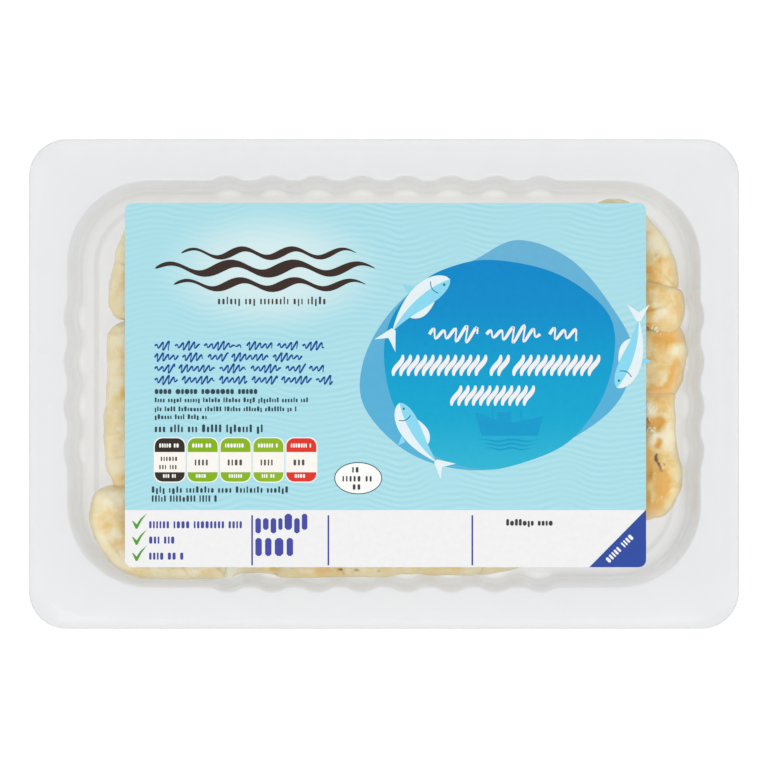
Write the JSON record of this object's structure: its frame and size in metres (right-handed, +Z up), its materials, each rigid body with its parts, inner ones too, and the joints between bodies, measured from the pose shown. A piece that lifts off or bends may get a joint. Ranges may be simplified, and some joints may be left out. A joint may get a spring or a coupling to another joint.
{
  "type": "tray pack of salted dried cod",
  "caption": "Sealed clear plastic tray of salted dried cod chunks, with a flat flange, fluted walls, a clear lidding film and a printed label on top.",
  "frame": {"origin": "centre of the pack's footprint, on the surface that the tray stands on", "axes": "+X along the pack's length, to the right of the label's print; +Y to the label's top edge; +Z up, out of the label"},
  "size_m": [0.19, 0.131, 0.025],
  "materials": {
    "clear_tray_plastic": "clear thermoformed film, smooth and glossy",
    "clear_film": "thin clear lidding film, glossy",
    "printed_label": "satin coated paper, printed in pale blue, blue and white",
    "cod_flesh": "moist translucent cream salted fish, golden at the edges"
  },
  "bodies": {
    "root": {"tray": "clear_tray_plastic", "lid_film": "clear_film", "label": "printed_label", "cod_back_left": "cod_flesh", "cod_left": "cod_flesh", "cod_front_left": "cod_flesh", "cod_front_small": "cod_flesh", "cod_front_middle": "cod_flesh", "cod_front_right": "cod_flesh", "cod_middle": "cod_flesh", "cod_back_middle": "cod_flesh", "cod_back_right": "cod_flesh", "cod_right_chunk": "cod_flesh", "cod_right": "cod_flesh", "cod_right_flaky": "cod_flesh"}
  },
  "joints": []
}
